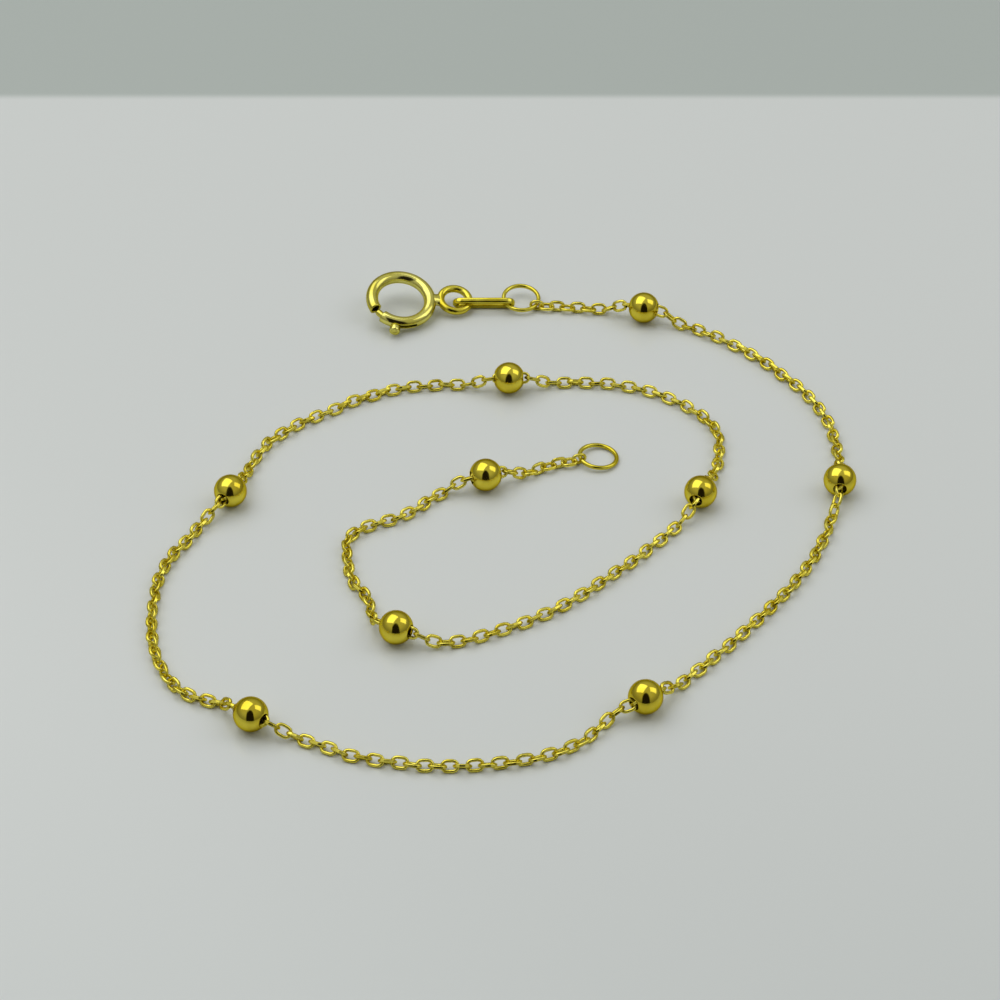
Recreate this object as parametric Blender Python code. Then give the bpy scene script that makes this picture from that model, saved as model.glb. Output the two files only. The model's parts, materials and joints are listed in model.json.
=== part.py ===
# Chain anklet with nine bead stations, unfastened and laid in an open spiral.
# Metres, +Z up, resting on z = 0. +X is right and +Y is away from the viewer.

from math import acos, asin, ceil, cos, pi, radians, sin, sqrt, tan

import bmesh
import bpy
import numpy as np
from mathutils import Matrix, Vector

# Cable chain, a tube as thick as the links that lie at 45 degrees
CHAIN_THICKNESS = 0.00073
CHAIN_POINT_STEP = 0.0031
LINK_LENGTH = 0.00115
LINK_WIDTH = 0.0009
LINK_WIRE = 0.00021

# Round hollow beads, drilled through for the chain
BEAD_DIAMETER = 0.0023
BEAD_WALL = 0.0002
BEAD_BORE = 0.00092
BEAD_RISE = 0.0022
BEAD_LEAD = 0.0002

# The two round rings, the jump ring at the clasp and the end ring
RING_DIAMETER = 0.00295
RING_WIRE = 0.00031
JUMP_RING_TILT = radians(8)
JUMP_RING_ROLL = radians(3)
JUMP_RING_CHAIN_ANGLE = radians(-32)
JUMP_RING_OVAL_ANGLE = radians(-150)

# Long oval link, on its edge and leaning towards the viewer
OVAL_LENGTH = 0.0047
OVAL_WIDTH = 0.00134
OVAL_WIRE = 0.00036
OVAL_LEAN = radians(30)

# Spring ring clasp: hollow ring, soldered eye and sliding latch
CLASP_DIAMETER = 0.0053
CLASP_TUBE = 0.00091
CLASP_WALL = 0.00012
CLASP_TILT = radians(15.5)
CLASP_TURN = radians(9)
CLASP_MOUTH_START = radians(-134)
CLASP_MOUTH_END = radians(203.5)
EYE_DIAMETER = 0.00275
EYE_WIRE = 0.0005
EYE_NECK = 0.0001
EYE_NECK_THICKNESS = 0.0007
NECK_SINK_SHARE = 0.6
EYE_SLACK = 0.00066
EYE_OVAL_ANGLE = radians(-16)
LATCH_ROD = 0.0005
LATCH_TIP_GAP = radians(4)
LATCH_TAIL = radians(-74)
LATCH_TRAVEL = radians(32)
KNOB_ANGLE = radians(-105)
KNOB_DIAMETER = 0.00075
KNOB_LENGTH = 0.00055
KNOB_STEM = 0.00024
KNOB_LIFT = 0.00005
KNOB_ROUNDING = 0.0001
SLOT_CLEARANCE = 0.00005

# Gaps between neighbours: between linked pieces, before a tube's end, and under the knob
LINK_PLAY = 0.00006
TUBE_END_GAP = 0.0003
FLOOR_GAP = 0.00002

# Rounds of correction that settle the clasp, and places along the knob's travel to clear
FIT_ROUNDS = 8
TRAVEL_SAMPLES = 8

# Facets, and the angle past which an edge is sharp
CHAIN_BEVEL_STEPS = 2
BEAD_SIDES = 16
BEAD_OUTER_STEPS = 10
BEAD_INNER_STEPS = 6
WIRE_SIDES = 8
LINK_SIDES = 6
LINK_END_STEPS = 6
OVAL_END_STEPS = 7
RING_STEPS = 24
EYE_SIDES = 10
EYE_STEPS = 20
CLASP_SIDES = 12
CLASP_STEP = radians(9)
KNOB_SIDES = 10
SHARP_ANGLE = radians(40)

# Chosen points of the chain's route on the floor, from the clasp to the end ring.
# Columns: x and y as shares of the spiral's size, and 1 where a bead sits.
SPIRAL_SIZE = 0.05
CHAIN_ROUTE = [
    (0.0602, 0.4696, 0),
    (0.1440, 0.4606, 0),
    (0.2030, 0.4456, 1),
    (0.2450, 0.4296, 0),
    (0.3190, 0.3876, 0),
    (0.3910, 0.3156, 0),
    (0.4510, 0.2186, 0),
    (0.4670, 0.1116, 0),
    (0.4620, 0.0396, 1),
    (0.4540, -0.0014, 0),
    (0.4310, -0.0694, 0),
    (0.3720, -0.1774, 0),
    (0.2930, -0.2774, 0),
    (0.2160, -0.3634, 0),
    (0.1740, -0.3974, 1),
    (0.1430, -0.4144, 0),
    (0.1030, -0.4524, 0),
    (0.0140, -0.4974, 0),
    (-0.0990, -0.5064, 0),
    (-0.2110, -0.4834, 0),
    (-0.2940, -0.4484, 0),
    (-0.3310, -0.4294, 1),
    (-0.3690, -0.3994, 0),
    (-0.4090, -0.3814, 0),
    (-0.4580, -0.3224, 0),
    (-0.4770, -0.2104, 0),
    (-0.4590, -0.1014, 0),
    (-0.4380, -0.0634, 0),
    (-0.4200, -0.0284, 0),
    (-0.3880, 0.0156, 1),
    (-0.3700, 0.0676, 0),
    (-0.3360, 0.1506, 0),
    (-0.2690, 0.2086, 0),
    (-0.1620, 0.2666, 0),
    (-0.0440, 0.2736, 0),
    (0.0000, 0.2726, 1),
    (0.0430, 0.2766, 0),
    (0.1550, 0.2766, 0),
    (0.2440, 0.2366, 0),
    (0.2970, 0.1656, 0),
    (0.2920, 0.0816, 0),
    (0.2660, 0.0136, 1),
    (0.2460, -0.0244, 0),
    (0.1790, -0.1024, 0),
    (0.0810, -0.1964, 0),
    (-0.0110, -0.2544, 0),
    (-0.1130, -0.2794, 0),
    (-0.1500, -0.2654, 1),
    (-0.1790, -0.2474, 0),
    (-0.1850, -0.2094, 0),
    (-0.2130, -0.1514, 0),
    (-0.2220, -0.0944, 0),
    (-0.2230, -0.0754, 0),
    (-0.2140, -0.0564, 0),
    (-0.1460, -0.0184, 0),
    (-0.0760, 0.0386, 0),
    (-0.0330, 0.0506, 1),
    (0.0070, 0.0646, 0),
    (0.0390, 0.0796, 0),
    (0.0610, 0.0910, 0),
    (0.0820, 0.0978, 0),
]

# Worked out from the sizes above
RING_RADIUS = (RING_DIAMETER - RING_WIRE) / 2
EYE_RADIUS = (EYE_DIAMETER - EYE_WIRE) / 2
CLASP_RADIUS = (CLASP_DIAMETER - CLASP_TUBE) / 2
EYE_CENTRE = CLASP_DIAMETER / 2 + EYE_NECK + EYE_DIAMETER / 2
UP = Vector((0, 0, 1))


def clear_scene():
    for thing in list(bpy.data.objects):
        bpy.data.objects.remove(thing)


def gold(name, colour, roughness):
    material = bpy.data.materials.new(name)
    material.use_nodes = True
    shader = material.node_tree.nodes["Principled BSDF"]
    shader.inputs["Base Color"].default_value = (*colour, 1)
    shader.inputs["Metallic"].default_value = 1.0
    shader.inputs["Roughness"].default_value = roughness
    return material


def finish_mesh(name, shape, material):
    bmesh.ops.recalc_face_normals(shape, faces=shape.faces)
    mesh = bpy.data.meshes.new(name)
    shape.to_mesh(mesh)
    shape.free()
    mesh.materials.append(material)
    mesh.shade_smooth()
    mesh.set_sharp_from_angle(angle=SHARP_ANGLE)
    return mesh


def place(name, mesh, matrix, parent=None):
    piece = bpy.data.objects.new(name, mesh)
    bpy.context.scene.collection.objects.link(piece)
    piece.parent = parent
    piece.matrix_local = matrix
    return piece


def axes_matrix(origin, x_axis, y_axis):
    x_axis = x_axis.normalized()
    z_axis = x_axis.cross(y_axis).normalized()
    y_axis = z_axis.cross(x_axis)
    turn = Matrix((x_axis, y_axis, z_axis)).transposed().to_4x4()
    return Matrix.Translation(origin) @ turn


def round_section(sides, thickness, lean=0.0):
    # Flats lie at half the thickness, and one faces out of the loop, or the lean away from that
    reach = thickness / 2 / cos(pi / sides)
    angles = [2 * pi * (k + 0.5) / sides + lean for k in range(sides)]
    return [(reach * cos(a), reach * sin(a)) for a in angles]


def join_rings(shape, rings, closed):
    pairs = list(zip(rings, rings[1:]))
    if closed:
        pairs.append((rings[-1], rings[0]))
    for here, there in pairs:
        for k in range(len(here)):
            after = (k + 1) % len(here)
            shape.faces.new((here[k], here[after], there[after], there[k]))
    if not closed:
        shape.faces.new(rings[0])
        shape.faces.new(rings[-1])


def flat_sweep(name, path, section, closed, material):
    # Carries a section along a flat path that turns anticlockwise about +Z
    shape = bmesh.new()
    rings = []
    last = len(path) - 1
    for i, point in enumerate(path):
        before = path[i - 1] if closed or i > 0 else point
        after = path[(i + 1) % len(path)] if closed or i < last else point
        along = (after - before).normalized()
        outward = along.cross(UP)
        rings.append([shape.verts.new(point + outward * u + UP * v) for u, v in section])
    join_rings(shape, rings, closed)
    return finish_mesh(name, shape, material)


def arc_path(radius, start, end, step):
    count = max(2, ceil((end - start) / step))
    angles = [start + (end - start) * k / count for k in range(count + 1)]
    return [Vector((radius * cos(a), radius * sin(a), 0)) for a in angles]


def ring_path(radius, steps):
    return [Vector((radius * cos(a), radius * sin(a), 0)) for a in np.arange(steps) * 2 * pi / steps]


def link_path(length, width, wire, end_steps):
    # Two half circles and two straight sides, along the wire's middle
    radius = (width - wire) / 2
    offset = (length - width) / 2
    path = []
    for side in (1, -1):
        for k in range(end_steps + 1):
            angle = pi * k / end_steps - pi / 2
            path.append(Vector((side * (offset + radius * cos(angle)), side * radius * sin(angle), 0)))
    return path


def turned(name, profile, sides, closed, material):
    # Turns a profile of (along, radius) pairs about +X
    shape = bmesh.new()
    rings = []
    for along, radius in profile:
        angles = [2 * pi * k / sides for k in range(sides)]
        rings.append([shape.verts.new((along, radius * cos(a), radius * sin(a))) for a in angles])
    join_rings(shape, rings, closed)
    return finish_mesh(name, shape, material)


def spline_bends(stations, points):
    # Second derivatives of the natural cubic through the points
    count = len(stations)
    steps = np.diff(stations)
    slopes = np.diff(points, axis=0) / steps[:, None]
    system = np.eye(count)
    right = np.zeros((count, 2))
    for i in range(1, count - 1):
        system[i, i - 1] = steps[i - 1]
        system[i, i] = 2 * (steps[i - 1] + steps[i])
        system[i, i + 1] = steps[i]
        right[i] = 6 * (slopes[i] - slopes[i - 1])
    return np.linalg.solve(system, right)


def chain_curve():
    # The smooth curve through the route, straight through each bead.
    # Gives a function from a length along it to a point, and the beads' stations.
    reach = BEAD_DIAMETER / 2 + BEAD_LEAD
    points = []
    bead_rows = []
    for i, (x, y, bead) in enumerate(CHAIN_ROUTE):
        here = np.array((x, y)) * SPIRAL_SIZE
        if not bead:
            points.append(here)
            continue
        axis = np.array(CHAIN_ROUTE[i + 1][:2]) - np.array(CHAIN_ROUTE[i - 1][:2])
        axis = axis / np.linalg.norm(axis)
        bead_rows.append(len(points) + 1)
        points.extend((here - axis * reach, here, here + axis * reach))
    points = np.array(points)
    stations = np.concatenate(([0], np.cumsum(np.linalg.norm(np.diff(points, axis=0), axis=1))))
    bends = spline_bends(stations, points)
    bead_stations = stations[bead_rows]
    lying = CHAIN_THICKNESS / 2
    seated = BEAD_DIAMETER / 2

    def point_at(station):
        i = int(np.clip(np.searchsorted(stations, station) - 1, 0, len(stations) - 2))
        step = stations[i + 1] - stations[i]
        a = (stations[i + 1] - station) / step
        b = 1 - a
        flat = a * points[i] + b * points[i + 1]
        flat = flat + ((a**3 - a) * bends[i] + (b**3 - b) * bends[i + 1]) * step**2 / 6
        away = np.min(np.abs(bead_stations - station)) - seated
        fall = min(max(away / BEAD_RISE, 0), 1)
        fall = fall * fall * (3 - 2 * fall)
        return Vector((flat[0], flat[1], seated + (lying - seated) * fall))

    return point_at, bead_stations, stations[-1]


def tube_stations(bead_stations, length):
    # Even steps between the beads, and nothing inside a bead
    reach = BEAD_DIAMETER / 2 + BEAD_LEAD
    starts = [0.0] + [s + reach for s in bead_stations]
    ends = [s - reach for s in bead_stations] + [length]
    stations = []
    for start, end in zip(starts, ends):
        count = max(1, round((end - start) / CHAIN_POINT_STEP))
        stations.extend(start + (end - start) * k / count for k in range(count + 1))
    return stations


def make_chain(point_at, stations, material):
    curve = bpy.data.curves.new("chain", "CURVE")
    curve.dimensions = "3D"
    curve.bevel_depth = CHAIN_THICKNESS / 2
    curve.bevel_resolution = CHAIN_BEVEL_STEPS
    curve.use_fill_caps = True
    route = curve.splines.new("POLY")
    route.points.add(len(stations) - 1)
    for point, station in zip(route.points, stations):
        point.co = (*point_at(station), 1)
    curve.materials.append(material)
    place("chain", curve, Matrix.Identity(4))


def bead_profile():
    # Outer ball and inner hollow, both cut off at the bore, as one closed outline
    outline = []
    for radius, steps, flip in (
        (BEAD_DIAMETER / 2, BEAD_OUTER_STEPS, 1),
        (BEAD_DIAMETER / 2 - BEAD_WALL, BEAD_INNER_STEPS, -1),
    ):
        edge = asin(BEAD_BORE / 2 / radius)
        for k in range(steps + 1):
            angle = edge + (pi - 2 * edge) * k / steps
            outline.append((flip * radius * cos(angle), radius * sin(angle)))
    return outline


def make_beads(point_at, bead_stations, material):
    mesh = turned("bead", bead_profile(), BEAD_SIDES, True, material)
    for number, station in enumerate(bead_stations, 1):
        axis = point_at(station + BEAD_LEAD) - point_at(station - BEAD_LEAD)
        place(f"bead_{number}", mesh, axes_matrix(point_at(station), axis, UP.cross(axis)))


def slanting_reach(wire, link_wire, slant):
    # From the middle of a wire that slants through a link to where its side leaves the link
    return wire / 2 / cos(slant) + link_wire / 2 * tan(slant)


def make_end_link(name, chain_end, outward, slant, material):
    # A link on its edge past the chain's end. Gives where a ring's wire passes through it.
    path = link_path(LINK_LENGTH, LINK_WIDTH, LINK_WIRE, LINK_END_STEPS)
    mesh = flat_sweep(name, path, round_section(LINK_SIDES, LINK_WIRE), True, material)
    centre = chain_end + outward * (TUBE_END_GAP + LINK_LENGTH / 2)
    centre.z = LINK_WIDTH / 2
    place(name, mesh, axes_matrix(centre, outward, UP))
    reach = LINK_LENGTH / 2 - LINK_WIRE - LINK_PLAY - slanting_reach(RING_WIRE, LINK_WIRE, slant)
    return centre + outward * reach


def ring_mesh(name, material):
    path = ring_path(RING_RADIUS, RING_STEPS)
    return flat_sweep(name, path, round_section(WIRE_SIDES, RING_WIRE), True, material)


def make_jump_ring(crossing, material):
    # Hangs on the oval link's lower side. Gives where its wire passes through the oval link.
    tilt = Matrix.Rotation(JUMP_RING_ROLL, 3, "Y") @ Matrix.Rotation(JUMP_RING_TILT, 3, "X")
    to_chain = tilt @ Vector((cos(JUMP_RING_CHAIN_ANGLE), sin(JUMP_RING_CHAIN_ANGLE), 0)) * RING_RADIUS
    to_oval = tilt @ Vector((cos(JUMP_RING_OVAL_ANGLE), sin(JUMP_RING_OVAL_ANGLE), 0)) * RING_RADIUS
    centre = crossing - to_chain
    centre.z = OVAL_WIRE + RING_WIRE / 2 + LINK_PLAY - to_oval.z
    place("jump_ring", ring_mesh("jump_ring", material), Matrix.Translation(centre) @ tilt.to_4x4())
    return centre + to_oval


def make_end_ring(crossing, outward, material):
    # One side is held up by the last link and the other lies on the floor
    high = LINK_WIRE + RING_WIRE / 2 + LINK_PLAY
    low = RING_WIRE / 2 / cos(pi / WIRE_SIDES)
    slope = asin((high - low) / (2 * RING_RADIUS))
    along = outward * cos(slope) - UP * sin(slope)
    held = Vector((crossing.x, crossing.y, high))
    centre = held + along * RING_RADIUS
    place("end_ring", ring_mesh("end_ring", material), axes_matrix(centre, along, UP.cross(along)))


def make_oval_link(crossing, material):
    # Leans on a flat of its wire, and the jump ring crosses it just inside its end.
    # Gives the middle of its wire at the clasp's end.
    path = link_path(OVAL_LENGTH, OVAL_WIDTH, OVAL_WIRE, OVAL_END_STEPS)
    section = round_section(WIRE_SIDES, OVAL_WIRE, OVAL_LEAN)
    mesh = flat_sweep("oval_link", path, section, True, material)
    slant = pi + JUMP_RING_OVAL_ANGLE
    near_end = crossing.x + OVAL_WIRE + LINK_PLAY / 2 + slanting_reach(RING_WIRE, OVAL_WIRE, slant)
    height = OVAL_WIRE / 2 + (OVAL_WIDTH - OVAL_WIRE) / 2 * cos(OVAL_LEAN)
    centre = Vector((near_end - OVAL_LENGTH / 2, crossing.y, height))
    across = Vector((0, -sin(OVAL_LEAN), cos(OVAL_LEAN)))
    place("oval_link", mesh, axes_matrix(centre, Vector((1, 0, 0)), across))
    return centre - Vector((OVAL_LENGTH / 2 - OVAL_WIRE / 2, 0, 0))


def clasp_matrix(oval_end):
    # The eye's far side passes through the oval link, and the knob clears the floor all along
    eye_side = Vector((EYE_CENTRE + EYE_RADIUS * cos(EYE_OVAL_ANGLE), EYE_RADIUS * sin(EYE_OVAL_ANGLE), 0))
    knob_rim = CLASP_DIAMETER / 2 + KNOB_LIFT + KNOB_LENGTH - KNOB_ROUNDING
    travel = [KNOB_ANGLE + LATCH_TRAVEL * k / TRAVEL_SAMPLES for k in range(TRAVEL_SAMPLES + 1)]
    knob_sides = [Vector((cos(angle), sin(angle), 0)) for angle in travel]
    held = oval_end + Vector((OVAL_WIRE / 2 + EYE_SLACK + EYE_WIRE / 2, 0, 0))
    roll = 0.0
    for _ in range(FIT_ROUNDS):
        turn = Matrix.Rotation(CLASP_TURN, 3, "Z") @ Matrix.Rotation(roll, 3, "Y")
        turn = turn @ Matrix.Rotation(CLASP_TILT, 3, "X")
        normal = turn @ UP
        ring_depth = CLASP_TUBE / 2 + CLASP_RADIUS * sqrt(1 - normal.z**2)
        fall = max(-(turn @ side).z for side in knob_sides)
        knob_depth = knob_rim * fall + KNOB_DIAMETER / 2 * sqrt(1 - fall**2)
        height = max(ring_depth, knob_depth) + FLOOR_GAP
        roll += (height - held.z + (turn @ eye_side).z) / eye_side.length
    centre = held - turn @ eye_side
    return Matrix.Translation(Vector((centre.x, centre.y, height))) @ turn.to_4x4()


def add_cut(piece, tool, operation):
    tool.hide_render = True
    tool.display_type = "WIRE"
    change = piece.modifiers.new(tool.name, "BOOLEAN")
    change.operation = operation
    change.solver = "EXACT"
    change.object = tool


def make_clasp_body(clasp, material):
    ring = arc_path(CLASP_RADIUS, CLASP_MOUTH_START, CLASP_MOUTH_END, CLASP_STEP)
    body = place("clasp_body", flat_sweep("clasp_body", ring, round_section(CLASP_SIDES, CLASP_TUBE),
                                          False, material), Matrix.Identity(4), clasp)

    eye_path = ring_path(EYE_RADIUS, EYE_STEPS)
    eye = flat_sweep("eye", eye_path, round_section(EYE_SIDES, EYE_WIRE), True, material)
    eye_tool = place("eye_tool", eye, Matrix.Translation((EYE_CENTRE, 0, 0)), clasp)
    add_cut(body, eye_tool, "UNION")

    # The solder runs from the ring's wall into the eye's wire
    neck_start = CLASP_DIAMETER / 2 - CLASP_WALL * NECK_SINK_SHARE
    neck_end = CLASP_DIAMETER / 2 + EYE_NECK + EYE_WIRE * NECK_SINK_SHARE
    neck = [(neck_start, EYE_NECK_THICKNESS / 2), (neck_end, EYE_NECK_THICKNESS / 2)]
    neck_mesh = turned("neck", neck, EYE_SIDES, False, material)
    neck_tool = place("neck_tool", neck_mesh, Matrix.Identity(4), clasp)
    add_cut(body, neck_tool, "UNION")

    # The channel runs through the whole ring and leaves both ends open
    inside = CLASP_TUBE - 2 * CLASP_WALL
    over = CLASP_STEP / 3
    channel = arc_path(CLASP_RADIUS, CLASP_MOUTH_START - over, CLASP_MOUTH_END + over, CLASP_STEP)
    channel_mesh = flat_sweep("channel", channel, round_section(CLASP_SIDES, inside), False, material)
    channel_tool = place("channel_tool", channel_mesh, Matrix.Identity(4), clasp)
    add_cut(body, channel_tool, "DIFFERENCE")

    # The slot lets the knob's stem travel along the outside of the ring
    half = KNOB_STEM / 2 + SLOT_CLEARANCE
    inner = inside / 4
    outer = CLASP_TUBE / 2 + KNOB_LIFT
    slot_section = [(inner, -half), (outer, -half), (outer, half), (inner, half)]
    side = half / CLASP_RADIUS
    slot = arc_path(CLASP_RADIUS, KNOB_ANGLE - side, KNOB_ANGLE + LATCH_TRAVEL + side, CLASP_STEP / 2)
    slot_tool = place("slot_tool", flat_sweep("slot", slot, slot_section, False, material),
                      Matrix.Identity(4), clasp)
    add_cut(body, slot_tool, "DIFFERENCE")


def make_clasp_latch(clasp, material):
    tip = CLASP_MOUTH_END - 2 * pi + LATCH_TIP_GAP
    rod = arc_path(CLASP_RADIUS, tip, LATCH_TAIL, CLASP_STEP)
    latch = place("clasp_latch", flat_sweep("clasp_latch", rod, round_section(WIRE_SIDES, LATCH_ROD),
                                            False, material), Matrix.Identity(4), clasp)
    knob_start = CLASP_DIAMETER / 2 + KNOB_LIFT
    knob_end = knob_start + KNOB_LENGTH
    profile = [
        (CLASP_RADIUS, KNOB_STEM / 2),
        (knob_start, KNOB_STEM / 2),
        (knob_start, KNOB_DIAMETER / 2 - KNOB_ROUNDING),
        (knob_start + KNOB_ROUNDING, KNOB_DIAMETER / 2),
        (knob_end - KNOB_ROUNDING, KNOB_DIAMETER / 2),
        (knob_end, KNOB_DIAMETER / 2 - KNOB_ROUNDING),
    ]
    knob_tool = place("knob_tool", turned("knob", profile, KNOB_SIDES, False, material),
                      Matrix.Rotation(KNOB_ANGLE, 4, "Z"), clasp)
    add_cut(latch, knob_tool, "UNION")


def build():
    clear_scene()
    link_gold = gold("link gold", (0.79, 0.62, 0.20), 0.22)
    bead_gold = gold("bead gold", (0.82, 0.65, 0.22), 0.12)
    ring_gold = gold("ring gold", (0.80, 0.64, 0.24), 0.20)
    clasp_gold = gold("clasp gold", (0.83, 0.69, 0.31), 0.18)

    point_at, bead_stations, length = chain_curve()
    make_chain(point_at, tube_stations(bead_stations, length), link_gold)
    make_beads(point_at, bead_stations, bead_gold)

    for name, here, inside in (
        ("first_link", 0.0, LINK_LENGTH),
        ("last_link", length, length - LINK_LENGTH),
    ):
        outward = point_at(here) - point_at(inside)
        outward.z = 0
        outward.normalize()
        if name == "last_link":
            crossing = make_end_link(name, point_at(here), outward, 0, link_gold)
            make_end_ring(crossing, outward, ring_gold)
            continue
        ring_side = Vector((cos(JUMP_RING_CHAIN_ANGLE), sin(JUMP_RING_CHAIN_ANGLE), 0))
        slant = acos(-outward.dot(ring_side))
        crossing = make_end_link(name, point_at(here), outward, slant, link_gold)
        jump_crossing = make_jump_ring(crossing, ring_gold)
        oval_end = make_oval_link(jump_crossing, ring_gold)

    clasp = place("clasp", None, clasp_matrix(oval_end))
    make_clasp_body(clasp, clasp_gold)
    make_clasp_latch(clasp, clasp_gold)


build()
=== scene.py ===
import json
from math import asin, atan2, cos, pi, radians, sin

import bpy
import numpy as np
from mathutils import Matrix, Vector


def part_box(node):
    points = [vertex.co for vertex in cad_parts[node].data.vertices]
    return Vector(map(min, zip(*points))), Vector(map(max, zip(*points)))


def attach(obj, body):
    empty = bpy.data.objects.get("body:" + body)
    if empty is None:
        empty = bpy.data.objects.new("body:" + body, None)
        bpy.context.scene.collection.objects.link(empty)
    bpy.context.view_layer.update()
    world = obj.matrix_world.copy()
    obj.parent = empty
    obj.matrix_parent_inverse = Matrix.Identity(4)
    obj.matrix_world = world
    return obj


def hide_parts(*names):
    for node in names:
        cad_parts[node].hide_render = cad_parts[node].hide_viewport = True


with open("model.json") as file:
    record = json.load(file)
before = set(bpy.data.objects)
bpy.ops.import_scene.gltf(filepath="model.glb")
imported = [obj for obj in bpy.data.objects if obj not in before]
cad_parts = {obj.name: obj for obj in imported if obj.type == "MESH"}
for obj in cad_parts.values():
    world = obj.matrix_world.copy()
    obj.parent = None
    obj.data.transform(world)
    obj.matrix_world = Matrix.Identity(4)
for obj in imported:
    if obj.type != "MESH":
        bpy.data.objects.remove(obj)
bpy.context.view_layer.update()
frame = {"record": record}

# Gold bead-station anklet, unfastened and laid in an open spiral. Metres, +Z up.
print("frame loaded")


floorGap = 0.00001    # the lowest point of a lying piece
zAxis = np.array((0.0, 0.0, 1.0))


# Small helpers for surfaces made as whole arrays

def gridQuads(rows, columns, closeRows, closeColumns):
    # Quads between neighbouring points of a grid that is stored row after row
    r = np.arange(rows if closeRows else rows - 1)[:, None]
    c = np.arange(columns if closeColumns else columns - 1)[None, :]
    r2, c2 = (r + 1) % rows, (c + 1) % columns
    corners = (r * columns + c, r * columns + c2, r2 * columns + c2, r2 * columns + c)
    return np.stack(corners, axis=-1).reshape(-1, 4)


def cappedTube(points):
    # Quads between rings of points, and a cap on the first ring and on the last, all facing out
    rings, sides = points.shape[:2]
    first = np.arange(sides)
    last = (rings - 1) * sides + first[::-1]
    return gridQuads(rings, sides, False, True)[:, ::-1], (first, last)


def meshPiece(name, points, quads, material, caps=(), flatFaces=None, inside=None):
    # Puts whole arrays into one mesh object, with n-sided caps after the quads. Inside is a second
    # material and the quads that have it.
    loops = [np.asarray(quads, np.int32).ravel()] + [np.asarray(cap, np.int32) for cap in caps]
    totals = np.array([4] * len(quads) + [len(cap) for cap in caps], np.int32)
    starts = np.concatenate(([0], np.cumsum(totals)[:-1])).astype(np.int32)
    loops = np.concatenate(loops)
    mesh = bpy.data.meshes.new(name)
    mesh.vertices.add(len(points))
    mesh.vertices.foreach_set("co", np.asarray(points, np.float32).ravel())
    mesh.loops.add(len(loops))
    mesh.loops.foreach_set("vertex_index", loops)
    mesh.polygons.add(len(totals))
    mesh.polygons.foreach_set("loop_start", starts)
    smooth = np.ones(len(totals), bool)
    if flatFaces is not None:
        smooth[:len(quads)] = ~flatFaces
    mesh.polygons.foreach_set("use_smooth", smooth)
    mesh.materials.append(material)
    if inside is not None:
        mesh.materials.append(inside[0])
        mesh.polygons.foreach_set("material_index", inside[1].astype(np.int32))
    mesh.update(calc_edges=True)
    mesh.validate()
    piece = bpy.data.objects.new(name, mesh)
    bpy.context.scene.collection.objects.link(piece)
    return piece


def unit(v):
    # Each row divided by its length
    v = np.asarray(v, float)
    return v / np.linalg.norm(v, axis=-1, keepdims=True)


def boxCentre(node):
    # The middle of a solid's box: (low + high) / 2
    low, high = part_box(node)
    return (np.array(low) + np.array(high)) / 2


def sweepLoop(path, outward, section):
    # A flat closed path with a section carried along it: point + outward * u + z * v
    u, v = section[..., 0], section[..., 1]
    return path[:, None, :] + outward[:, None, :] * u[..., None] + zAxis * v[..., None]


def sectionWays(sides):
    # Directions round a section, with a flat side facing outward
    t = (np.arange(sides) + 0.5) * 2 * pi / sides
    return np.stack((np.cos(t), np.sin(t)), axis=-1)


def roundSection(sides, radius):
    # A circle in the plane of the outward and z directions: radius * (cos t, sin t)
    return sectionWays(sides) * radius


def flattedSection(sides, halfOut, halfThick, power):
    # A soft square: |u / halfOut|^power + |v / halfThick|^power = 1
    ways = sectionWays(sides)
    size = np.sum(np.abs(ways) ** power, axis=-1, keepdims=True) ** (-1 / power)
    return ways * size * (halfOut, halfThick)


# Gold

goldLooks = {
    "coat": 0.15,
    "coatIor": 1.5,
    "edge": (0.60, 0.49, 0.13),     # the tint of what is seen at a glancing angle
    "toneDetail": 3.0,
    "toneSpan": (0.30, 0.55),       # the noise turns the deep colour to the base between these
    "wipeFiner": 2.3,               # the wiping marks' noise scale, as a multiple of the tone's
    "wipeDetail": 5.0,
    "wipeSpan": (0.3, 0.7),
    "wipeReach": (0.6, 1.5),        # the least and the most roughness, as multiples of a look's
    "dentFiner": 1.3,               # the dents' noise scale, as a multiple of the tone's
    "dentDetail": 1.0,
    "hairStretch": (1.0, 0.22, 1.6),
    "hairTurn": (0.4, 0.3, 0.7),
    "hairDetail": 4.0,
    "link": {
        "base": (0.90, 0.79, 0.115), "deep": (0.74, 0.60, 0.035), "roughness": 0.24,
        "toneScale": 900, "dents": 0.000010, "hairScale": 9000, "hairs": 0.000003,
    },
    # Beads: base and deep colours set darker than the links', as painted shade
    "bead": {
        "base": (0.77, 0.645, 0.06), "deep": (0.66, 0.51, 0.025), "roughness": 0.11,
        "toneScale": 700, "dents": 0.000018, "hairScale": 6000, "hairs": 0.0000012,
    },
    # The beads' hollow insides: near-black gold, painted shade for the dark bores
    "beadInside": {
        "base": (0.18, 0.15, 0.02), "deep": (0.15, 0.12, 0.01), "roughness": 0.45,
        "toneScale": 900, "dents": 0.000020, "hairScale": 6000, "hairs": 0.000002,
    },
    # Eye, jump ring, end ring and oval link: colours set darker than the links', as painted shade
    "ring": {
        "base": (0.76, 0.665, 0.075), "deep": (0.64, 0.52, 0.025), "roughness": 0.19,
        "toneScale": 700, "dents": 0.000008, "hairScale": 7000, "hairs": 0.000002,
    },
    # Clasp: base set paler and less saturated than the other golds, as a painted highlight
    "clasp": {
        "base": (0.82, 0.765, 0.20), "deep": (0.58, 0.51, 0.05), "roughness": 0.14,
        "toneScale": 450, "dents": 0.000020, "hairScale": 6000, "hairs": 0.000002,
    },
}


def noiseNode(nodes, links, place, scale, detail):
    # Noise that is fixed to the place, from 0 to 1
    node = nodes.new("ShaderNodeTexNoise")
    node.inputs["Scale"].default_value = scale
    node.inputs["Detail"].default_value = detail
    links.new(place, node.inputs["Vector"])
    return node.outputs["Fac"]


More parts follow.
